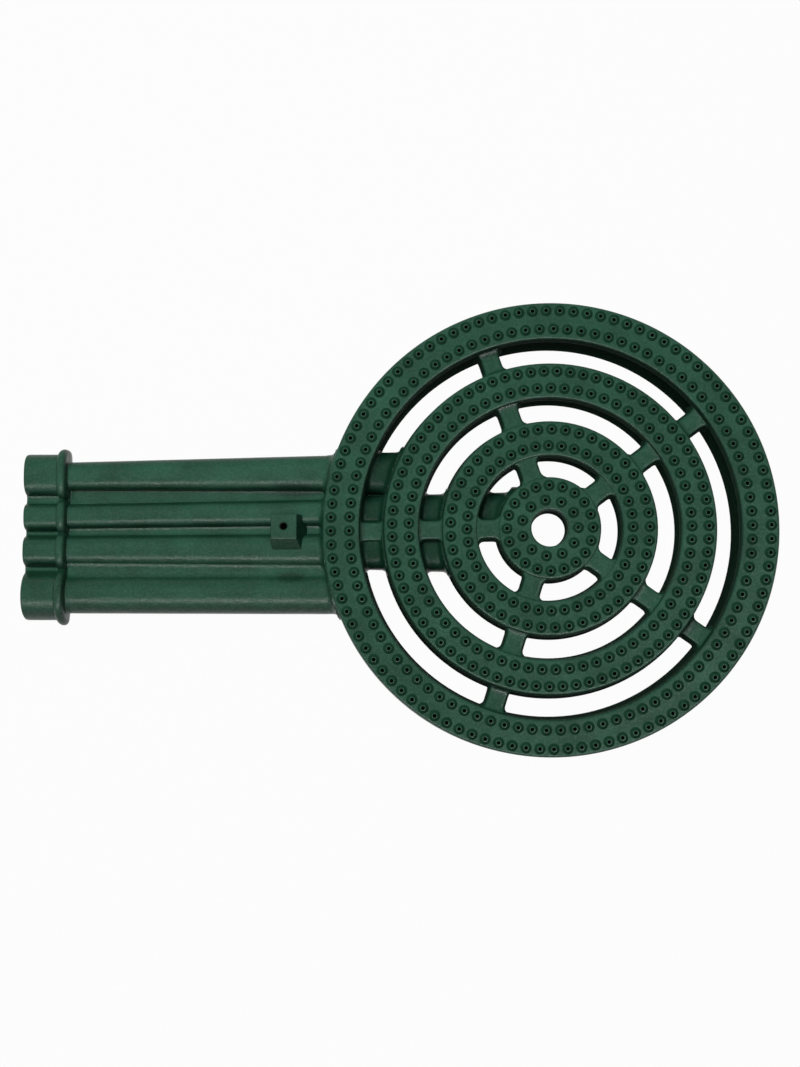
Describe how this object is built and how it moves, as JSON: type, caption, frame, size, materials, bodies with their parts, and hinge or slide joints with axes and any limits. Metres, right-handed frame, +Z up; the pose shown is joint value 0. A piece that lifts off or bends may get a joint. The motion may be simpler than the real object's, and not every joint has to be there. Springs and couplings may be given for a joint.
{
  "type": "cast iron gas burner",
  "caption": "Multi-ring cast iron gas burner with raised flame ports, joined mixing tubes, a lobed inlet collar and a tapped pilot boss.",
  "frame": {"origin": "on the common axis of the rings, in the plane of their ported tops, at the mouth of the centre hole", "axes": "+Z up, the way the flames leave; -X along the mixing tubes towards the lobed inlet collar; +Y completes the right-handed frame"},
  "size_m": [0.5037, 0.3034, 0.044],
  "materials": {
    "painted_casting": "dark green gloss paint over sand-cast iron",
    "mineral_seal": "matt grey-black mineral fibre",
    "steel": "zinc plated"
  },
  "bodies": {
    "root": {"burner_body": "painted_casting", "outer_port_ring": "painted_casting", "second_port_ring": "painted_casting", "third_port_ring": "painted_casting", "centre_port_ring": "painted_casting", "outer_ring_outer_seal": "mineral_seal", "outer_ring_inner_seal": "mineral_seal", "second_ring_outer_seal": "mineral_seal", "second_ring_inner_seal": "mineral_seal", "third_ring_outer_seal": "mineral_seal", "third_ring_inner_seal": "mineral_seal", "centre_ring_outer_seal": "mineral_seal", "centre_ring_inner_seal": "mineral_seal", "outer_ring_screws": "steel", "second_ring_screws": "steel", "third_ring_screws": "steel", "centre_ring_screws": "steel", "outer_ring_washers": "steel", "second_ring_washers": "steel", "third_ring_washers": "steel", "centre_ring_washers": "steel"}
  },
  "joints": []
}
